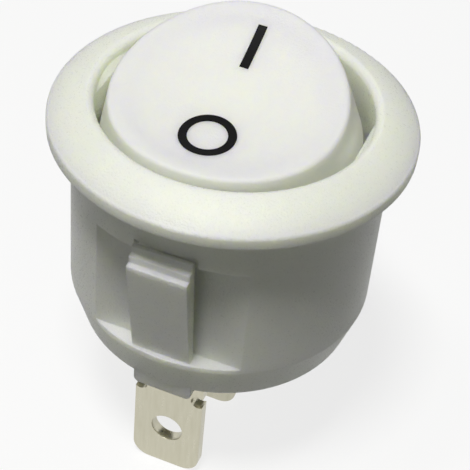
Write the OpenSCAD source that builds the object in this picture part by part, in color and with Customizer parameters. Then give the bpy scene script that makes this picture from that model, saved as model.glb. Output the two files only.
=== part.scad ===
// Round panel rocker switch: a snap-in body that carries a see-saw contact
// under a tilting button. The panel's outer face is z = 0, +Z points out of
// the panel, the button tilts about an axis along X, and its O end is at -Y.
// The button is drawn resting with its O end pressed in.

/* [Bezel] */
// Outside diameter of the bezel
bezel_d = 23; // [22.6:0.1:26]
// Height of the bezel's crown above the panel
bezel_h = 2.05; // [1.8:0.05:2.3]
// Height of the upright rim of the bezel
rim_h = 0.85; // [0.5:0.05:1.1]
// Radius along the top of the rim
rim_round = 0.2; // [0.1:0.05:0.3]
// Radius of the crown in section
crown_bend = 7; // [5:0.5:10]
// Radius on the lip of the well
lip_round = 0.5; // [0.3:0.05:0.6]

/* [Body] */
// Diameter of the body where it passes the panel
body_d = 20; // [19.9:0.05:20.6]
// Depth of the body behind the panel
body_depth = 14.5; // [14.3:0.1:17]
// Diameter at the bottom of the foot
foot_d = 18.4; // [18:0.1:19.4]
// Height of the taper round the foot
foot_h = 2.6; // [1:0.1:2.8]
// Depth of the collar at the inner edge of the flats
collar_h = 3.5; // [3.4:0.05:3.8]
// Rise of the collar's underside towards the outside
collar_rise = 0.35; // [0.1:0.05:0.6]
// Distance from the axis to the flats
flat_y = 8.65; // [8.5:0.05:8.75]
// Depth of the ledges below the flats
ledge_z = 11.5; // [10.5:0.1:11.7]
// Thickness of the floor
floor_t = 2; // [1.4:0.1:2.2]
// Wall behind the flats
flat_wall = 0.8; // [0.6:0.05:0.9]
// Distance from the axis to the face of the pad in front of the load terminal
pad_y = 9.1; // [9:0.05:9.15]
// How far the pad stands below the foot
pad_drop = 0.9; // [0.5:0.1:1]
// Width of the pad
pad_w = 4; // [3:0.1:4.8]
// Radius on the pad's lower corners
pad_round = 0.45; // [0.2:0.05:0.6]

/* [Well] */
// Diameter of the well that the button sits in
well_d = 17.2; // [17:0.05:17.6]
// Depth of the shoulder in the well
well_depth = 2.85; // [2.75:0.05:3]
// Distance between the two cheeks that carry the button
cheek_gap = 16.4; // [16.3:0.05:16.8]
// Lead-in chamfer on top of each cheek
cheek_chamfer = 0.4; // [0.1:0.05:0.6]

/* [Latches] */
// Width of each latch
latch_w = 3.9; // [3:0.1:5]
// Depth of the free end of each latch
latch_top = 2.6; // [2.4:0.05:2.8]
// Distance from the axis to the face above the first tooth
latch_y = 10.3; // [10.2:0.05:10.4]
// Number of teeth on each latch
teeth = 2; // [1:1:3]
// How far each tooth steps out
tooth_out = 0.35; // [0.2:0.05:0.35]
// Height from one tooth to the next
tooth_drop = 0.5; // [0.3:0.05:0.6]
// Height of the upright face below the last tooth
tooth_face = 0.35; // [0.2:0.05:0.5]
// Distance from the axis to the face of each latch at its root
latch_root = 9.65; // [9.6:0.05:9.75]
// Gap between the root of a latch and the flat behind it
latch_gap = 0.45; // [0.3:0.05:0.45]
// How much wider that gap is at the latch's free end
latch_lean = 0.9; // [0.7:0.05:0.9]
// Clearance round the free end of each latch, under the collar
latch_free = 0.08; // [0.05:0.01:0.12]

/* [Button] */
// Tilt of the button to each side, in degrees
tilt = 14; // [12:0.5:14.5]
// Depth of the pivot axis below the panel face
pivot_z = 2.5; // [2.4:0.05:2.6]
// Height of the middle of the button above the pivot
crown_h = 5.65; // [5.2:0.05:6]
// Radius of the button's rim
rim_r = 7; // [6.6:0.05:7.05]
// Radius of the hollow across the button's top
dish_r = 22; // [18:0.5:40]
// Slope of the button's flanks, in degrees
draft = 14; // [10:0.5:14.5]
// Height of the skirt's lower edge above the pivot
skirt_z = 1.9; // [1.85:0.05:3]
// Wall of the button
button_wall = 1.2; // [0.8:0.1:1.6]
// Clearance between the button and each cheek
side_gap = 0.15; // [0.1:0.05:0.25]
// Diameter of the two trunnions
trunnion_d = 3; // [2.4:0.1:3.4]
// Length of each trunnion
trunnion_l = 0.8; // [0.5:0.05:1]
// Half length of the ears that carry the trunnions
ear_y = 2.6; // [2:0.1:3]
// Depth of the ears below the pivot
ear_z = 2.2; // [1.8:0.1:2.4]

/* [Plunger] */
// Diameter of the plunger
plunger_d = 2.9; // [2.4:0.05:3]
// Radial clearance of the plunger in the boss
plunger_fit = 0.05; // [0.02:0.01:0.1]
// Reach of the plunger's nose below the pivot
nose_z = 5.6; // [5.2:0.05:5.9]
// Height of the plunger's top above the nose
plunger_l = 5; // [4.4:0.1:5.4]
// Outside diameter of the boss
boss_d = 5; // [4.4:0.1:5.6]
// Depth of the boss below the pivot
boss_z = 3.2; // [2.8:0.1:3.4]
// Height of the end of the boss's bore above the pivot
bore_top = 3.4; // [3:0.1:3.6]
// Diameter of the spring's wire
wire_d = 0.34; // [0.2:0.02:0.4]
// Number of turns of the spring
turns = 6; // [4:1:7]

/* [Contacts] */
// Angle of each wing of the moving contact, in degrees
wing_angle = 5; // [4:0.5:6]
// Thickness of the moving contact
strip_t = 0.4; // [0.3:0.05:0.5]
// Width of the moving contact
strip_w = 3.2; // [2.6:0.1:3.4]
// Length of each wing
wing_l = 6.3; // [6:0.1:6.8]
// Gap between the nose and the strip as the button passes the middle
nose_gap = 0.03; // [0.02:0.01:0.08]
// Radius of the journals that the strip rocks on
journal_r = 0.3; // [0.2:0.02:0.34]
// Radial clearance under the journals
journal_fit = 0.05; // [0.02:0.01:0.08]
// Distance from the fulcrum to the contacts
contact_y = 5; // [4.4:0.1:5.2]
// Diameter of the contact heads
contact_d = 2.3; // [1.8:0.1:2.8]
// Thickness of the contact heads
contact_t = 0.5; // [0.4:0.05:0.7]
// Diameter of the rivet shanks
shank_d = 1.2; // [0.9:0.05:1.4]
// Gap between the contacts when they are closed
closed_gap = 0.05; // [0.02:0.01:0.1]

/* [Terminals] */
// Width of the terminals
tab_w = 4.8; // [4.6:0.1:5]
// Thickness of the terminals
tab_t = 0.8; // [0.5:0.05:0.85]
// Depth of the load terminal's tip
load_tip = 24; // [22:0.1:26]
// Depth of the common terminal's tip
common_tip = 23.8; // [22:0.1:26]
// Diameter of the hole in each terminal
eye_d = 2.2; // [1.6:0.05:2.6]
// Distance from each tip to the middle of its hole
eye_up = 3.5; // [2.6:0.1:4]
// Radius on the corners of the tips
tip_round = 1.2; // [0.4:0.1:1.4]
// Radius of the stake notches in each terminal's edges
stake_r = 0.48; // [0.4:0.02:0.5]
// Distance from each edge to the middle of its notch
stake_in = 0.33; // [0.2:0.01:0.35]
// Depth of the notches below the foot
stake_down = 2.45; // [2:0.05:2.8]
// How far the common terminal's blade is set off towards the load terminal
joggle = 0.8; // [0.6:0.1:1]
// Clearance of the terminals in their slots, on each side
slot_fit = 0.04; // [0.02:0.01:0.08]
// How far each shoulder of the common terminal stands out
shoulder_out = 0.6; // [0.3:0.05:0.8]
// Height of the common terminal's shoulders
shoulder_h = 1; // [0.6:0.1:1.4]
// Inside radius of the bend in the load terminal
bend_r = 0.4; // [0.2:0.05:0.6]

/* [Hidden] */
$fn = 96;
over = 1;              // how far cutters reach past what they cut
ivory = "#EEEFE6";
brass = "#C9C2A8";
copper = "#C98F5E";
silver = "#DCDDDD";
steel = "#B9BCC0";
tread_fall = 0.06;     // slope of each latch tooth's upper face
fork_gap = 0.15;       // beside the moving contact, in the common terminal's fork
fork_floor = 0.8;      // below the moving contact, in the fork
stop_gap = 0.08;       // between the free wing and its stop
stop_l = 2.4;          // length of the stop under the free wing
shelf_past = 0.5;      // of the load terminal's shelf past the contact
end_gap = 0.1;         // past the end of each trunnion
trunnion_fit = 0.05;   // round each trunnion
ear_flare = 1.6;       // how much wider each ear is at the skirt, on each side
rib_t = 0.8;           // thickness of the ribs under the button's top
rib_up = 0.4;          // height of the ribs above the skirt's edge
coil_gap = 0.15;       // round the spring in its bore
upset_t = 0.2;         // height of the rivet's upset end
upset_d = 0.5;         // how much wider than the shank that end is
root_h = 0.6;          // how far each latch's root goes into the foot
root_taper = 0.15;     // how much thinner the root is at its end

// Bezel: the crown's arc runs from the lip to the rim
bezel_r = bezel_d / 2;
body_r = body_d / 2;
well_r = well_d / 2;
arc_in = well_r + lip_round;
arc_out = bezel_r - rim_round;
arc_run = arc_out - arc_in;
arc_fall = bezel_h - rim_h;
arc_chord = norm([arc_run, arc_fall]);
arc_lift = sqrt(crown_bend * crown_bend - arc_chord * arc_chord / 4);
crown_c = [(arc_in + arc_out) / 2 - arc_lift * arc_fall / arc_chord,
           (bezel_h + rim_h) / 2 - arc_lift * arc_run / arc_chord];

// Body
cheek_x = cheek_gap / 2;
cavity_y = flat_y - flat_wall;
floor_z = body_depth - floor_t;
latch_in = flat_y + latch_gap;
tooth_y = latch_y + teeth * tooth_out;
tooth_z = latch_top + teeth * tooth_drop;

// Button, in its own frame with the pivot at the origin
rim_z = crown_h + dish_r - sqrt(dish_r * dish_r - rim_r * rim_r);
skirt_r = rim_r + (rim_z - skirt_z) * tan(draft);
button_x = cheek_x - side_gap;
bore_r = plunger_d / 2 + plunger_fit;

// See-saw: the strip's top clears the nose's lowest point
nose_r = plunger_d / 2;
axis_z = pivot_z + nose_z + nose_gap + strip_t / 2;
contact_z = axis_z + strip_t / 2 + contact_t + closed_gap;
shelf_z = contact_z + contact_t;
fork_x = strip_w / 2 + fork_gap;
prong_z = axis_z + journal_r / 2;

// Load terminal: its outer face lies against the wall behind the flat
load_out = cavity_y - slot_fit;
load_in = load_out - tab_t;
shelf_end = contact_y - contact_d / 2 - shelf_past;
notch_z = body_depth + stake_down;

// ---- Housing: bezel, body and latches in one moulding ----

module bezel_section() {
    intersection() {
        square([bezel_r, bezel_h]);
        union() {
            square([bezel_r, rim_h - rim_round]);
            translate([bezel_r - rim_round, rim_h - rim_round]) circle(rim_round);
            square([bezel_r - rim_round, rim_h]);
            intersection() {
                square([arc_out, bezel_h]);
                translate(crown_c) circle(crown_bend, $fn = 360);
            }
            square([arc_in, bezel_h]);
        }
        union() {
            square([bezel_r, bezel_h - lip_round]);
            translate([arc_in, bezel_h - lip_round]) circle(lip_round);
            translate([arc_in, 0]) square([bezel_r, bezel_h]);
        }
    }
}

module body_section() {
    polygon([[0, 0], [body_r, 0], [body_r, foot_h - body_depth],
             [foot_d / 2, -body_depth], [0, -body_depth]]);
}

// What is cut away to leave the flat, its sloping top and the ledge below it,
// and the pocket in the collar that lets the free end of a latch spring in
module flat_cut() {
    rotate([90, 0, 90]) translate([0, 0, -body_r])
        linear_extrude(2 * body_r)
            polygon([[flat_y, -collar_h], [body_r, -collar_h + collar_rise],
                     [body_r + over, -collar_h + collar_rise], [body_r + over, -ledge_z],
                     [flat_y, -ledge_z]]);
    translate([-latch_w / 2 - latch_free, latch_in, -collar_h - over])
        cube([latch_w + 2 * latch_free, body_r, collar_h + over - latch_top + latch_free]);
}

function tooth(i) = [[latch_y + (i - 1) * tooth_out, -latch_top - i * tooth_drop],
                     [latch_y + i * tooth_out, -latch_top - i * tooth_drop - tread_fall]];

module latch() {
    steps = [for (i = [1 : teeth]) each tooth(i)];
    rotate([90, 0, 90]) translate([0, 0, -latch_w / 2])
        linear_extrude(latch_w)
            polygon(concat([[latch_in + latch_lean, -latch_top], [latch_y, -latch_top]], steps,
                           [[tooth_y, -tooth_z - tooth_face], [latch_root, -ledge_z],
                            [latch_root - root_taper, -ledge_z - root_h],
                            [latch_in, -ledge_z - root_h], [latch_in, -ledge_z]]));
}

// Flat shape with two rounded corners at its lower end
module tongue(w, top, tip, r) {
    translate([-w / 2, r - tip]) square([w, tip - r - top]);
    translate([r - w / 2, -tip]) square([w - 2 * r, r]);
    for (x = [-1, 1]) translate([x * (w / 2 - r), r - tip]) circle(r);
}

// Pad below the foot, against the outer face of the load terminal
module pad() {
    translate([0, -cavity_y, 0]) rotate([90, 0, 0])
        linear_extrude(pad_y - cavity_y) tongue(pad_w, floor_z, body_depth + pad_drop, pad_round);
}

module well_outline(r, x) {
    intersection() {
        circle(r);
        square([2 * x, 2 * r], center = true);
    }
}

module cheek_lead_in() {
    for (side = [0, 180])
        rotate([0, 0, side]) rotate([90, 0, 0]) translate([0, 0, -well_r])
            linear_extrude(2 * well_r)
                polygon([[cheek_x - over, bezel_h - lip_round - cheek_chamfer],
                         [cheek_x, bezel_h - lip_round - cheek_chamfer],
                         [cheek_x + cheek_chamfer, bezel_h - lip_round],
                         [cheek_x + cheek_chamfer, bezel_h + over],
                         [cheek_x - over, bezel_h + over]]);
}

module well() {
    translate([0, 0, -well_depth])
        linear_extrude(well_depth + bezel_h + over) well_outline(well_r, cheek_x);
    translate([0, 0, -floor_z])
        linear_extrude(floor_z)
            intersection() {
                well_outline(well_r, cheek_x);
                square([2 * well_r, 2 * cavity_y], center = true);
            }
    intersection() {
        cheek_lead_in();
        cylinder(h = bezel_h + over, r = well_r);
    }
    rotate([0, 90, 0])
        translate([pivot_z, 0, 0])
            cylinder(h = 2 * (button_x + trunnion_l + end_gap), d = trunnion_d + 2 * trunnion_fit,
                     center = true);
}

module terminal_slots() {
    slot = [tab_w + 2 * slot_fit, tab_t + 2 * slot_fit, floor_t + 2 * over];
    for (y = [-joggle, -(load_in + load_out) / 2])
        translate([0, y, -floor_z - floor_t / 2]) cube(slot, center = true);
}

// Moulded rests: a block under the load terminal's shelf, and a stop under
// the free wing of the moving contact
module rests() {
    block_top = shelf_z + tab_t;
    block_end = load_in - bend_r - slot_fit;
    translate([-tab_w / 2, -block_end, -floor_z])
        cube([tab_w, block_end - shelf_end, floor_z - block_top]);
    translate([-strip_w / 2, wing_l - stop_l, -floor_z])
        cube([strip_w, stop_l, floor_z - axis_z - strip_t / 2 - stop_gap]);
}

module housing() {
    color(ivory) difference() {
        union() {
            difference() {
                union() {
                    rotate_extrude() bezel_section();
                    difference() {
                        rotate_extrude() body_section();
                        flat_cut();
                        mirror([0, 1, 0]) flat_cut();
                    }
                    pad();
                    latch();
                    mirror([0, 1, 0]) latch();
                }
                well();
            }
            rests();
        }
        terminal_slots();
    }
}

// ---- Button and what it carries, in the button's own frame ----

module at_button() {
    translate([0, 0, -pivot_z]) rotate([tilt, 0, 0]) children();
}

module flank(inset) {
    foot = -ear_z - over;
    rotate_extrude()
        polygon([[0, foot], [skirt_r - inset, foot], [skirt_r - inset, skirt_z],
                 [rim_r - inset, rim_z], [rim_r - inset - over * tan(draft), rim_z + over],
                 [0, rim_z + over]]);
}

// Everything above the dished top, or above its inside face
module above_dish(drop) {
    translate([0, 0, crown_h + dish_r]) rotate([0, 90, 0])
        cylinder(h = 4 * body_r, r = dish_r + drop, center = true, $fn = 360);
}

// Side view of the button below its rim: the skirt, and the ears
module skirt_side() {
    rotate([90, 0, 90]) translate([0, 0, -body_r])
        linear_extrude(2 * body_r)
            polygon([[-body_r, skirt_z], [-ear_y - ear_flare, skirt_z], [-ear_y, -ear_z],
                     [ear_y, -ear_z], [ear_y + ear_flare, skirt_z], [body_r, skirt_z],
                     [body_r, rim_z + over], [-body_r, rim_z + over]]);
}

module button_shell() {
    difference() {
        intersection() {
            flank(0);
            skirt_side();
            cube([2 * button_x, 4 * body_r, 4 * body_r], center = true);
        }
        above_dish(0);
        difference() {
            intersection() {
                flank(button_wall);
                cube([2 * (button_x - button_wall), 4 * body_r, 4 * body_r], center = true);
            }
            above_dish(button_wall);
        }
    }
}

module button_ribs() {
    difference() {
        intersection() {
            union() {
                translate([-rib_t / 2, -body_r, skirt_z + rib_up])
                    cube([rib_t, 2 * body_r, rim_z]);
                translate([-body_r, -rib_t / 2, skirt_z + rib_up])
                    cube([2 * body_r, rib_t, rim_z]);
            }
            flank(button_wall / 2);
            cube([2 * button_x - button_wall, 4 * body_r, 4 * body_r], center = true);
        }
        above_dish(button_wall / 2);
    }
}

module trunnions() {
    rotate([0, 90, 0])
        intersection() {
            cylinder(h = 2 * (button_x + trunnion_l), d = trunnion_d, center = true);
            union() for (end = [-1, 1])
                translate([0, 0, end * (button_x + trunnion_l / 2 - button_wall / 2)])
                    cylinder(h = trunnion_l + button_wall, d = 2 * trunnion_d, center = true);
        }
}

module rocker() {
    color(ivory) at_button() {
        difference() {
            union() {
                button_shell();
                button_ribs();
                trunnions();
                difference() {
                    translate([0, 0, -boss_z]) cylinder(h = boss_z + crown_h, d = boss_d);
                    above_dish(button_wall / 2);
                }
            }
            translate([0, 0, -boss_z - over]) cylinder(h = boss_z + over + bore_top, r = bore_r);
        }
    }
}

// Helical wire: t runs from 0 to 1 along it, and the end turns are wound flatter
wire_r = wire_d / 2;
wire_sides = 8;
spring_r = bore_r - wire_r - coil_gap;
spring_low = plunger_l - nose_z;
spring_h = bore_top - spring_low;
end_flat = 0.6;
coil_steps = 16 * turns;
function climb(t) = wire_r + (spring_h - wire_d) * (t - end_flat * sin(360 * t) / (2 * PI));
function coil_ring(t) =
    [for (k = [0 : wire_sides - 1])
        let (a = 360 * k / wire_sides, r = spring_r + wire_r * cos(a))
        [r * cos(360 * turns * t), r * sin(360 * turns * t),
         spring_low + climb(t) + wire_r * sin(a)]];

module spring() {
    n = wire_sides;
    last = coil_steps * n;
    points = [for (i = [0 : coil_steps]) each coil_ring(i / coil_steps)];
    sides = [for (i = [0 : n : last - n], k = [0 : n - 1])
        [i + n + k, i + n + (k + 1) % n, i + (k + 1) % n, i + k]];
    ends = [[for (k = [0 : n - 1]) k], [for (k = [n - 1 : -1 : 0]) last + k]];
    color(steel) at_button() polyhedron(points, concat(sides, ends));
}

module plunger() {
    color(ivory) at_button()
        rotate_extrude()
            union() {
                intersection() {
                    translate([0, nose_r - nose_z]) circle(nose_r);
                    translate([0, -nose_z]) square([nose_r, nose_r]);
                }
                translate([0, nose_r - nose_z]) square([nose_r, plunger_l - nose_r]);
            }
}

// ---- Contacts and terminals ----

// The see-saw at rest, tipped so that the wing under the nose lies level
module at_see_saw() {
    translate([0, 0, -axis_z]) rotate([-wing_angle, 0, 0]) children();
}

module at_contact() {
    rotate([-wing_angle, 0, 0]) translate([0, -contact_y, 0]) children();
}

module moving_contact() {
    color(copper) at_see_saw() difference() {
        union() {
            for (side = [0, 180])
                rotate([0, 0, side]) rotate([wing_angle, 0, 0])
                    translate([-strip_w / 2, 0, -strip_t / 2]) cube([strip_w, wing_l, strip_t]);
            for (side = [0, 180])
                rotate([0, 0, side]) translate([strip_w / 2 - journal_r / 2, 0, 0])
                    rotate([0, 90, 0])
                        cylinder(h = (tab_w - strip_w + journal_r) / 2, r = journal_r);
        }
        at_contact() cylinder(h = 4 * strip_t, d = shank_d, center = true);
    }
}

module moving_contact_rivet() {
    color(silver) at_see_saw() at_contact() {
        translate([0, 0, -strip_t / 2 - contact_t]) cylinder(h = contact_t, d = contact_d);
        translate([0, 0, -strip_t / 2]) cylinder(h = strip_t, d = shank_d);
        translate([0, 0, strip_t / 2]) cylinder(h = upset_t, d = shank_d + upset_d);
    }
}

// Flat blade seen from the front, its tip at the bottom
module blade(top, tip) {
    difference() {
        tongue(tab_w, top, tip, tip_round);
        translate([0, eye_up - tip]) circle(d = eye_d);
        for (x = [-1, 1]) translate([x * (tab_w / 2 - stake_in), -notch_z]) circle(stake_r);
    }
}

// Side view of the common terminal: the blade, then the sloping step to the fork
module joggled_section() {
    half = tab_t / 2;
    high = -floor_z + shoulder_h;
    polygon([[-joggle - half, -common_tip], [half - joggle, -common_tip], [half - joggle, high],
             [half, high + joggle], [half, -prong_z], [-half, -prong_z], [-half, high + joggle],
             [-joggle - half, high]]);
}

module common_terminal() {
    half = tab_w / 2;
    color(brass) difference() {
        intersection() {
            rotate([90, 0, 0]) linear_extrude(2 * body_r, center = true) difference() {
                union() {
                    blade(prong_z, common_tip);
                    translate([-half - shoulder_out, -floor_z])
                        square([tab_w + 2 * shoulder_out, shoulder_h]);
                }
                translate([-fork_x, -axis_z - strip_t / 2 - fork_floor])
                    square([2 * fork_x, 2 * body_r]);
            }
            rotate([90, 0, 90]) linear_extrude(2 * body_r, center = true) joggled_section();
        }
        translate([0, 0, -axis_z]) rotate([0, 90, 0])
            cylinder(h = 2 * tab_w, r = journal_r + journal_fit, center = true);
    }
}

// Side view of the load terminal's bend and shelf, inward to the right
module shelf_section() {
    outer = bend_r + tab_t;
    difference() {
        union() {
            translate([-load_out, -floor_z]) square([tab_t, floor_z - shelf_z - outer]);
            translate([-load_out + outer, -shelf_z - tab_t])
                square([load_out - outer - shelf_end, tab_t]);
            intersection() {
                translate([-load_out + outer, -shelf_z - outer]) circle(outer);
                translate([-load_out, -shelf_z - outer]) square(outer);
            }
        }
        translate([-load_out + outer, -shelf_z - outer]) circle(bend_r);
    }
}

module load_terminal() {
    color(brass) difference() {
        union() {
            translate([0, -load_in, 0]) rotate([90, 0, 0]) linear_extrude(tab_t)
                blade(floor_z, load_tip);
            rotate([90, 0, 90]) translate([0, 0, -tab_w / 2])
                linear_extrude(tab_w) shelf_section();
        }
        translate([0, -contact_y, -shelf_z - tab_t / 2])
            cylinder(h = 2 * tab_t, d = shank_d, center = true);
    }
}

module fixed_contact_rivet() {
    color(silver) translate([0, -contact_y, 0]) {
        translate([0, 0, -shelf_z]) cylinder(h = contact_t, d = contact_d);
        translate([0, 0, -shelf_z - tab_t]) cylinder(h = tab_t, d = shank_d);
    }
}

housing();
rocker();
spring();
plunger();
moving_contact();
moving_contact_rivet();
common_terminal();
load_terminal();
fixed_contact_rivet();
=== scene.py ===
# Round panel rocker switch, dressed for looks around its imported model.
# All lengths are in metres, in the same frame as the model.
import math

import bmesh
import bpy
from mathutils import Matrix, Vector


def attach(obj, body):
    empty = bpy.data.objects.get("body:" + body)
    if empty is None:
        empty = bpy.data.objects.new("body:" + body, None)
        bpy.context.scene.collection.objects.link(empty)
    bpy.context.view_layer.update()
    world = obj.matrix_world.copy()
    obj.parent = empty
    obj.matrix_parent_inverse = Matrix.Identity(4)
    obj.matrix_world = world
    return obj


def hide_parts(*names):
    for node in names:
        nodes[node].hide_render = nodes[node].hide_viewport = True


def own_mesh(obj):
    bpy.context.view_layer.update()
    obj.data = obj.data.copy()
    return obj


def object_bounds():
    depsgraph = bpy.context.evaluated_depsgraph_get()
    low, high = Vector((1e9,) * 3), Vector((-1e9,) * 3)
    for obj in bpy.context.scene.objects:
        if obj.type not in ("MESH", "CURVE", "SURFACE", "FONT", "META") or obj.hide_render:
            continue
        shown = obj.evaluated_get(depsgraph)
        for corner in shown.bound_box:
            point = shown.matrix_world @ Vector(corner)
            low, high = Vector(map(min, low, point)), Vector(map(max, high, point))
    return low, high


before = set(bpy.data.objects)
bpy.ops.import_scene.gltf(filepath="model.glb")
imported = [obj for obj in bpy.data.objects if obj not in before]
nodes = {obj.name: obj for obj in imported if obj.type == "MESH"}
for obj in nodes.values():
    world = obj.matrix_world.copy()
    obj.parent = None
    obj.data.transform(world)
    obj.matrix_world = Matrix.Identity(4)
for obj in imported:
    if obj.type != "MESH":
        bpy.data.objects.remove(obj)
cad_box = [list(corner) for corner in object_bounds()]
scene = bpy.context.scene
MM = 0.001


# ---- Camera, floor and light ----
# The switch stands on its terminals on a pale table, seen from above and to
# the right of the O end through a long lens.
camera_turn, camera_rise, camera_roll = math.radians(18.69), math.radians(41.81), math.radians(5.76)
camera_distance = 98.23 * MM
camera_target = Vector((0.063, 2.242, -11.02)) * MM
back = Vector((math.sin(camera_turn) * math.cos(camera_rise),
               -math.cos(camera_turn) * math.cos(camera_rise), math.sin(camera_rise)))
level = Vector((math.cos(camera_turn), math.sin(camera_turn), 0))
upright = back.cross(level)
right = level * math.cos(camera_roll) + upright * math.sin(camera_roll)
up = upright * math.cos(camera_roll) - level * math.sin(camera_roll)
camera = bpy.data.objects.new("camera", bpy.data.cameras.new("camera"))
camera.data.lens = 110.85
camera.data.sensor_width = 36
camera.data.clip_start = 1 * MM    # the object is closer to the lens than Blender's usual near limit
axes = Matrix((right, up, back)).transposed().to_4x4()
camera.matrix_world = Matrix.Translation(camera_target + back * camera_distance) @ axes
scene.collection.objects.link(camera)
scene.camera = camera
scene.view_settings.view_transform = "Standard"


def linear(hex_colour):
    """sRGB hex to the linear colour that a shader takes."""
    parts = [int(hex_colour[i:i + 2], 16) / 255 for i in (1, 3, 5)]
    return [c / 12.92 if c <= 0.04045 else ((c + 0.055) / 1.055) ** 2.4 for c in parts] + [1]


def node(tree, kind, settings=None, **links):
    """Adds a node: settings are its properties and input values by name, links the sockets
    that feed it, with _ for a space in an input's name."""
    made = tree.nodes.new(kind)
    for name, value in (settings or {}).items():
        if name in made.inputs:
            made.inputs[name].default_value = value
        else:
            setattr(made, name, value)
    for name, socket in links.items():
        tree.links.new(socket, made.inputs[name.replace("_", " ")])
    return made


def seen_white(tree):
    """1 for rays that see the backdrop, straight or in a reflection, 0 for rays that light the part."""
    path = node(tree, "ShaderNodeLightPath")
    seen = node(tree, "ShaderNodeMath", {"operation": "MAXIMUM"})
    tree.links.new(path.outputs["Is Camera Ray"], seen.inputs[0])
    tree.links.new(path.outputs["Is Glossy Ray"], seen.inputs[1])
    both = node(tree, "ShaderNodeMath", {"operation": "MAXIMUM"})
    tree.links.new(seen.outputs[0], both.inputs[0])
    tree.links.new(path.outputs["Is Transmission Ray"], both.inputs[1])
    return both.outputs[0]


world = bpy.data.worlds.new("studio")
scene.world = world
world.use_nodes = True
tree = world.node_tree
tree.nodes.clear()
fill = node(tree, "ShaderNodeBackground", {"Color": linear("#F4F6F0"), "Strength": 0.055})
white = node(tree, "ShaderNodeBackground", {"Color": (1, 1, 1, 1), "Strength": 1.0})
mixed = node(tree, "ShaderNodeMixShader", Fac=seen_white(tree))
tree.links.new(fill.outputs[0], mixed.inputs[1])
tree.links.new(white.outputs[0], mixed.inputs[2])
node(tree, "ShaderNodeOutputWorld", Surface=mixed.outputs[0])

paper = bpy.data.materials.new("floor_paper")
paper.use_nodes = True
tree = paper.node_tree
tree.nodes.clear()
matt = node(tree, "ShaderNodeBsdfDiffuse", {"Color": linear("#70706C")})
glow = node(tree, "ShaderNodeEmission", {"Color": (1, 1, 1, 1), "Strength": 1.0})
lit = node(tree, "ShaderNodeBsdfDiffuse", {"Color": linear("#F7F7F5")})
seen_floor = node(tree, "ShaderNodeMixShader", {"Fac": 0.8})
tree.links.new(lit.outputs[0], seen_floor.inputs[1])
tree.links.new(glow.outputs[0], seen_floor.inputs[2])
mixed = node(tree, "ShaderNodeMixShader", Fac=seen_white(tree))
tree.links.new(matt.outputs[0], mixed.inputs[1])
tree.links.new(seen_floor.outputs[0], mixed.inputs[2])
node(tree, "ShaderNodeOutputMaterial", Surface=mixed.outputs[0])

floor_z, floor_radius = cad_box[0][2], 1.5
floor_mesh = bpy.data.meshes.new("floor")
build = bmesh.new()
bmesh.ops.create_circle(build, cap_ends=True, segments=64, radius=floor_radius)
bmesh.ops.translate(build, verts=build.verts, vec=(0, 0, floor_z))
build.to_mesh(floor_mesh)
build.free()
floor_mesh.materials.append(paper)
floor = bpy.data.objects.new("floor", floor_mesh)
scene.collection.objects.link(floor)


def lamp(name, watts, size, where):
    """A round softbox, size across, that looks at the middle of the bezel."""
    data = bpy.data.lights.new(name, "AREA")
    data.shape = "DISK"
    data.size = size
    data.energy = watts
    made = bpy.data.objects.new(name, data)
    made.location = where
    made.rotation_euler = (-Vector(where)).to_track_quat("-Z", "Y").to_euler()
    scene.collection.objects.link(made)


lamp("overhead_softbox", 1.3, 0.1, (-0.006, -0.118, 0.403))
lamp("side_softbox", 0.2, 0.06, (-0.115, -0.07, 0.4))
lamp("front_card", 0.055, 0.14, (-0.06, -0.41, 0.14))


# ---- Housing ----
# One moulding in natural white nylon 66: bezel, body and the two latches that
# spring out behind the panel. The mould is spark-eroded, so its faces carry a
# fine even grain, and its edges come out a little rounded.
def surface(name):
    """A new material, its node tree and its shader."""
    made = bpy.data.materials.new(name)
    made.use_nodes = True
    return made, made.node_tree, made.node_tree.nodes["Principled BSDF"]


def nylon(name, colour, deeper, grain, relief, edge, gloss):
    """Moulded nylon 66: a waxy white that glows green-yellow where light comes through thin
    walls. Grain is the size of the mould's spark pits, relief how deep they are, edge the
    radius to which its corners are rounded, and gloss the roughness of its shiniest spots."""
    made, tree, shader = surface(name)
    where = node(tree, "ShaderNodeTexCoord").outputs["Object"]
    cloudy = node(tree, "ShaderNodeTexNoise", {"Scale": 1 / cloud_width, "Detail": 3.0}, Vector=where)
    tone = node(tree, "ShaderNodeMix", {"data_type": "RGBA"}, Factor=cloudy.outputs["Fac"])
    tone.inputs[6].default_value = linear(colour)     # inputs 6 and 7 are the two colours
    tone.inputs[7].default_value = linear(deeper)
    pits = node(tree, "ShaderNodeTexNoise", {"Scale": 1 / grain, "Detail": 2.5, "Roughness": 0.6},
                Vector=where)
    sheen = node(tree, "ShaderNodeMapRange", {"From Min": 0.35, "From Max": 0.65, "To Min": gloss,
                                              "To Max": gloss + 0.16}, Value=pits.outputs["Fac"])
    corners = node(tree, "ShaderNodeBevel", {"samples": 6, "Radius": edge})
    dents = node(tree, "ShaderNodeBump", {"Strength": 1.0, "Distance": relief},
                 Height=pits.outputs["Fac"], Normal=corners.outputs[0])
    for socket, source in (("Base Color", tone.outputs[2]), ("Roughness", sheen.outputs[0]),
                           ("Normal", dents.outputs[0])):
        tree.links.new(source, shader.inputs[socket])
    shader.inputs["IOR"].default_value = 1.53
    shader.inputs["Subsurface Weight"].default_value = 0.85
    shader.inputs["Subsurface Radius"].default_value = (1.0, 1.1, 0.6)
    shader.inputs["Subsurface Scale"].default_value = light_depth
    return made


def dress(name, material):
    """Gives a node of the model its material."""
    nodes[name].data.materials.clear()
    nodes[name].data.materials.append(material)
    return nodes[name]


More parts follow.
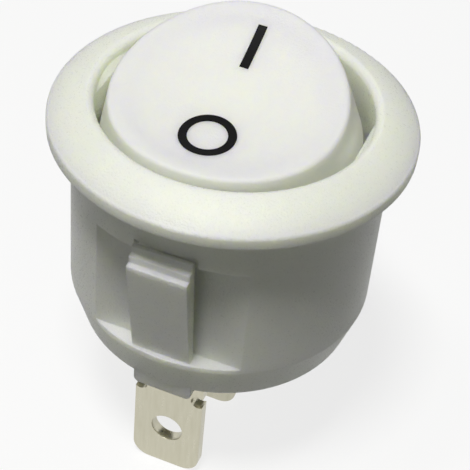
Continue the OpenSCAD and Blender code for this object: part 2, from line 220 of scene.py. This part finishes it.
# Spark pits are about 0.08 mm wide, and are drawn at 0.13 mm so that they show.
cloud_width, light_depth, pit_width = 2.6 * MM, 1.5 * MM, 0.13 * MM
dress("housing", nylon("nylon_66_natural_white", "#F4F7EB", "#F0F4E4", pit_width, 0.052 * MM,
                       0.14 * MM, 0.265))


# ---- Button ----
# A thin-walled moulding in the same nylon: a dished round cap on a flared
# skirt, two ears with trunnions that snap into the well's cheeks, and inside
# it crossed ribs and the boss that guides the plunger.
pivot_z, off_tilt = -2.5 * MM, math.radians(14)
at_button = Matrix.Translation((0, 0, pivot_z)) @ Matrix.Rotation(off_tilt, 4, "X")
crown, dish_radius, wall = 5.65 * MM, 22 * MM, 1.2 * MM
rim_radius, flare, skirt = 7 * MM, math.tan(math.radians(14)), 1.9 * MM
rim_soft, side_x = 0.22 * MM, 8.05 * MM
ear_foot, ear_half, ear_narrowing = -2.2 * MM, 4.3 * MM, 0.6


def dish(y, drop=0.0):
    """Height of the hollow top at y, or of the surface that lies drop under it."""
    return crown + dish_radius - math.sqrt((dish_radius + drop) ** 2 - y * y)


def flank(z):
    """Radius of the flared skirt at height z."""
    return rim_radius + (dish(rim_radius) - z) * flare


def spun(section, steps):
    """A new bmesh with the section, a line of points, turned a full turn round Z."""
    build = bmesh.new()
    line = [build.verts.new(point) for point in section]
    for first, second in zip(line, line[1:]):
        build.edges.new((first, second))
    bmesh.ops.spin(build, geom=build.verts[:] + build.edges[:], cent=(0, 0, 0),
                   axis=(0, 0, 1), dvec=(0, 0, 0), angle=math.tau, steps=steps, use_merge=True)
    bmesh.ops.remove_doubles(build, verts=build.verts, dist=1e-7)
    bmesh.ops.recalc_face_normals(build, faces=build.faces)
    return build


def new_object(name, build, place, material):
    """The bmesh as an object whose place is in its mesh."""
    bmesh.ops.transform(build, matrix=place, verts=build.verts)
    for face in build.faces:
        face.smooth = True
    mesh = bpy.data.meshes.new(name)
    build.to_mesh(mesh)
    build.free()
    mesh.materials.append(material)
    made = bpy.data.objects.new(name, mesh)
    scene.collection.objects.link(made)
    return made


def join_solids(whole, parts):
    """Unites closed solids with the whole, so that it stays one moulding inside."""
    for part in parts:
        union = whole.modifiers.new("union", "BOOLEAN")
        union.operation, union.solver, union.object = "UNION", "MANIFOLD", part
    seen = whole.evaluated_get(bpy.context.evaluated_depsgraph_get())
    united = bpy.data.meshes.new_from_object(seen)
    whole.modifiers.clear()
    whole.data = united
    for part in parts:
        bpy.data.objects.remove(part)


# The outside is spun as a drum one unit across, then laid over the dish and
# down the flare: its end is the top, its side the flank.
cap = spun([(q, 0, 1) for q in (0, 0.12, 0.25, 0.4, 0.55, 0.7, 0.82, 0.91)]
           + [(1, 0, z) for z in (1, 0.86, 0.68, 0.5, 0.32, 0.15, 0)], 144)
rim = set()
for v in cap.verts:
    share, down, turn = math.hypot(v.co.x, v.co.y), 1 - v.co.z, math.atan2(v.co.y, v.co.x)
    edge = rim_radius       # where flank and dish meet at this turn, closed in on step by step
    for _ in range(12):
        edge = flank(dish(edge * math.sin(turn)))
    if share > 0.99 and down < 0.01:
        rim.add(v)
    if down < 0.01:
        r = share * edge
        z = dish(r * math.sin(turn))
    else:
        z = dish(edge * math.sin(turn)) * (1 - down) + skirt * down
        r = flank(z)
    v.co = (r * math.cos(turn), r * math.sin(turn), z)
bmesh.ops.solidify(cap, geom=cap.faces[:], thickness=wall)
for v in cap.verts:
    if v.co.z < skirt:
        v.co.z = skirt
rim_edges = [e for e in cap.edges if e.verts[0] in rim and e.verts[1] in rim]
bmesh.ops.bevel(cap, geom=rim_edges, offset=rim_soft, offset_type="OFFSET", affect="EDGES",
                segments=5, profile=0.5, material=-1)

# The ears run down from the skirt's edge and narrow towards their feet.
ear_tops = [f for f in cap.faces if max(abs(v.co.z - skirt) for v in f.verts) < 0.001 * MM
            and max(abs(v.co.y) for v in f.verts) < ear_half]
drawn = bmesh.ops.extrude_face_region(cap, geom=ear_tops)
bmesh.ops.delete(cap, geom=ear_tops, context="FACES")
for v in [g for g in drawn["geom"] if isinstance(g, bmesh.types.BMVert)]:
    r = math.hypot(v.co.x, v.co.y)
    y = v.co.y * ear_narrowing
    v.co = (math.copysign(math.sqrt(r * r - y * y), v.co.x), y, ear_foot)
for side in (-1, 1):
    cut = bmesh.ops.bisect_plane(cap, geom=cap.verts[:] + cap.edges[:] + cap.faces[:],
                                 plane_co=(side * side_x, 0, 0), plane_no=(side, 0, 0),
                                 clear_outer=True)
    open_edges = [e for e in cut["geom_cut"] if isinstance(e, bmesh.types.BMEdge)]
    bmesh.ops.holes_fill(cap, edges=open_edges, sides=0)
bmesh.ops.recalc_face_normals(cap, faces=cap.faces)
button_nylon = nylon("nylon_66_button_white", "#F5F7ED", "#F2F5E8", pit_width, 0.025 * MM,
                     0.1 * MM, 0.48)
button = new_object("button_moulding", cap, at_button, button_nylon)

trunnion_radius, trunnion_long, trunnion_x, trunnion_soft = 1.5 * MM, 1.4 * MM, 8.15 * MM, 0.2 * MM
trunnions = bmesh.new()
bmesh.ops.create_cone(trunnions, cap_ends=True, segments=64, radius1=trunnion_radius,
                      radius2=trunnion_radius, depth=trunnion_long)
ends = [e for e in trunnions.edges if e.verts[0].co.z > 0 and e.verts[1].co.z > 0]
bmesh.ops.bevel(trunnions, geom=ends, offset=trunnion_soft, offset_type="OFFSET",
                affect="EDGES", segments=3, profile=0.5, material=-1)
bmesh.ops.rotate(trunnions, verts=trunnions.verts, matrix=Matrix.Rotation(math.pi / 2, 3, "Y"))
bmesh.ops.translate(trunnions, verts=trunnions.verts, vec=(trunnion_x, 0, 0))
bmesh.ops.mirror(trunnions, geom=trunnions.verts[:] + trunnions.edges[:] + trunnions.faces[:],
                 axis="X", merge_dist=0)
bmesh.ops.recalc_face_normals(trunnions, faces=trunnions.faces)

bore, boss_out, boss_foot, bore_top = 1.5 * MM, 2.5 * MM, -3.2 * MM, 3.4 * MM
rib_foot, rib_reach, rib_thick = 2.3 * MM, 6.3 * MM, 0.8 * MM
boss = spun([(0, 0, bore_top), (bore, 0, bore_top), (bore, 0, boss_foot), (boss_out, 0, boss_foot),
             (boss_out, 0, crown - wall / 2), (0, 0, crown - wall / 2)], 64)


def rib(along):
    """A thin wall under the top, from flank to flank along X or Y."""
    build = bmesh.new()
    bmesh.ops.create_grid(build, x_segments=12, y_segments=1, size=1)
    grown = bmesh.ops.extrude_face_region(build, geom=build.faces[:])
    lower = {g for g in grown["geom"] if isinstance(g, bmesh.types.BMVert)}
    for v in build.verts:
        run = v.co.x * rib_reach
        z = dish(run if along == "Y" else 0, wall / 2)
        if v in lower:
            run, z = v.co.x * (flank(rib_foot) - wall / 2), rib_foot
        v.co = (run, v.co.y * rib_thick / 2, z)
    if along == "Y":
        bmesh.ops.rotate(build, verts=build.verts, matrix=Matrix.Rotation(math.pi / 2, 3, "Z"))
    bmesh.ops.recalc_face_normals(build, faces=build.faces)
    return build


join_solids(button, [new_object("inside", build, at_button, button_nylon)
                     for build in (trunnions, boss, rib("X"), rib("Y"))])
button.data.set_sharp_from_angle(angle=math.radians(35))
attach(button, "button")
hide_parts("rocker")


# ---- Marks ----
# The off ring and the on bar are pad-printed in black epoxy ink on the top of
# the button, a thin even film that stays deep black under the lamps.
def print_ink(name):
    """Pad-printed ink: near black and almost without sheen, as its film follows the grain."""
    made, tree, shader = surface(name)
    where = node(tree, "ShaderNodeTexCoord").outputs["Object"]
    patchy = node(tree, "ShaderNodeTexNoise", {"Scale": 1 / (0.2 * MM), "Detail": 2.0}, Vector=where)
    tone = node(tree, "ShaderNodeMix", {"data_type": "RGBA"}, Factor=patchy.outputs["Fac"])
    tone.inputs[6].default_value = linear("#040404")
    tone.inputs[7].default_value = linear("#0E0D0E")
    dents = node(tree, "ShaderNodeBump", {"Strength": 1.0, "Distance": 0.006 * MM},
                 Height=patchy.outputs["Fac"])
    tree.links.new(tone.outputs[2], shader.inputs["Base Color"])
    tree.links.new(dents.outputs[0], shader.inputs["Normal"])
    shader.inputs["Roughness"].default_value = 0.4
    shader.inputs["Specular IOR Level"].default_value = 0.08
    return made


ink = print_ink("black_pad_print")
proud, sunk = 0.02 * MM, 0.05 * MM
ring_out, stroke, ring_x, ring_y = 3.47 / 2 * MM, 0.53 * MM, 0.12 * MM, -3.4 * MM
ring_in = ring_out - stroke
ring = spun([(ring_in, 0, -sunk), (ring_in, 0, proud), (ring_out, 0, proud), (ring_out, 0, -sunk),
             (ring_in, 0, -sunk)], 96)
bmesh.ops.translate(ring, verts=ring.verts, vec=(ring_x, ring_y, 0))

bar_w, bar_l, bar_y = 0.59 * MM, 3.16 * MM, 3.92 * MM
bar = bmesh.new()
bmesh.ops.create_grid(bar, x_segments=1, y_segments=16, size=0.5)
grown = bmesh.ops.extrude_face_region(bar, geom=bar.faces[:])
bmesh.ops.translate(bar, vec=(0, 0, 1), verts=[g for g in grown["geom"]
                                               if isinstance(g, bmesh.types.BMVert)])
bmesh.ops.scale(bar, vec=(bar_w, bar_l, proud + sunk), verts=bar.verts)
bmesh.ops.translate(bar, verts=bar.verts, vec=(0, bar_y, -sunk))
bmesh.ops.recalc_face_normals(bar, faces=bar.faces)
for name, build in (("off_ring_mark", ring), ("on_bar_mark", bar)):
    for v in build.verts:
        v.co.z += dish(v.co.y)
    mark = new_object(name, build, at_button, ink)
    mark.data.set_sharp_from_angle(angle=math.radians(35))
    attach(mark, "button")


# ---- Plunger and spring ----
# A smooth pin in the same nylon, pushed out of the boss by a small coil spring
# wound from drawn steel wire. The spring stands on the plunger's end; here it
# rides with the button at one length.
dress("plunger", nylon("nylon_66_plunger", "#EBECE2", "#E4E6D8", 0.1 * MM, 0.003 * MM,
                       0.05 * MM, 0.3))


def metal(name, colour, darker, rough, grain, drawn_out):
    """Bare metal: two tones in streaks as wide as grain, drawn_out times as long along Z. They
    are drawn a few times wider than the real drawing and rolling lines, so that they show."""
    made, tree, shader = surface(name)
    where = node(tree, "ShaderNodeTexCoord").outputs["Object"]
    run = node(tree, "ShaderNodeMapping", {"Scale": (1, 1, 1 / drawn_out)}, Vector=where)
    streaks = node(tree, "ShaderNodeTexNoise", {"Scale": 1 / grain, "Detail": 3.0},
                   Vector=run.outputs[0])
    tone = node(tree, "ShaderNodeMix", {"data_type": "RGBA"}, Factor=streaks.outputs["Fac"])
    tone.inputs[6].default_value = linear(colour)
    tone.inputs[7].default_value = linear(darker)
    gloss = node(tree, "ShaderNodeMapRange", {"To Min": rough - 0.08, "To Max": rough + 0.08},
                 Value=streaks.outputs["Fac"])
    dents = node(tree, "ShaderNodeBump", {"Strength": 0.5, "Distance": 0.004 * MM},
                 Height=streaks.outputs["Fac"])
    for socket, source in (("Base Color", tone.outputs[2]), ("Roughness", gloss.outputs[0]),
                           ("Normal", dents.outputs[0])):
        tree.links.new(source, shader.inputs[socket])
    shader.inputs["Metallic"].default_value = 1.0
    return made


# Drawn wire is a bright grey satin.
steel = metal("drawn_spring_steel", "#B9BBBE", "#9C9EA2", 0.3, 0.08 * MM, 3)
wound = bmesh.new()
wound.from_mesh(nodes["spring"].data)
bmesh.ops.remove_doubles(wound, verts=wound.verts, dist=1e-7)
coil = new_object("coil_spring", wound, Matrix(), steel)
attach(coil, "button")
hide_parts("spring")
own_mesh(coil)


# ---- Contacts and terminals ----
# The see-saw contact is bent copper strip with a silver rivet that meets its
# fellow on the load terminal. The terminals are brass strip, blanked, bent and
# tin plated, with faint rolling lines down their length.
# Rolled copper is a warm pink satin, silver a pale one, and tin a soft, slightly yellow grey.
dress("moving_contact", metal("rolled_copper_strip", "#D39A72", "#B87A52", 0.32, 0.15 * MM, 4))
silver = metal("silver_contact_face", "#E2E2DF", "#CBCBC8", 0.35, 0.1 * MM, 1)
dress("moving_contact_rivet", silver)
dress("fixed_contact_rivet", silver)
tinned = metal("tin_plated_brass", "#CFCCBA", "#BDB9A4", 0.3, 0.25 * MM, 8)
for name in ("common_terminal", "load_terminal"):
    tab = dress(name, tinned)
    tab_skin = tab.modifiers.new("one_skin", "WELD")
    tab_skin.merge_threshold = 0.001 * MM
    tab_faces = tab.modifiers.new("whole_faces", "DECIMATE")
    tab_faces.decimate_type = "DISSOLVE"
    tab_faces.angle_limit = math.radians(0.4)
    tab_edges = tab.modifiers.new("blanked_edges", "BEVEL")
    tab_edges.width = 0.05 * MM
    tab_edges.segments = 2
    tab_edges.limit_method = "ANGLE"
    tab_edges.angle_limit = math.radians(40)
    tab_edges.use_clamp_overlap = False
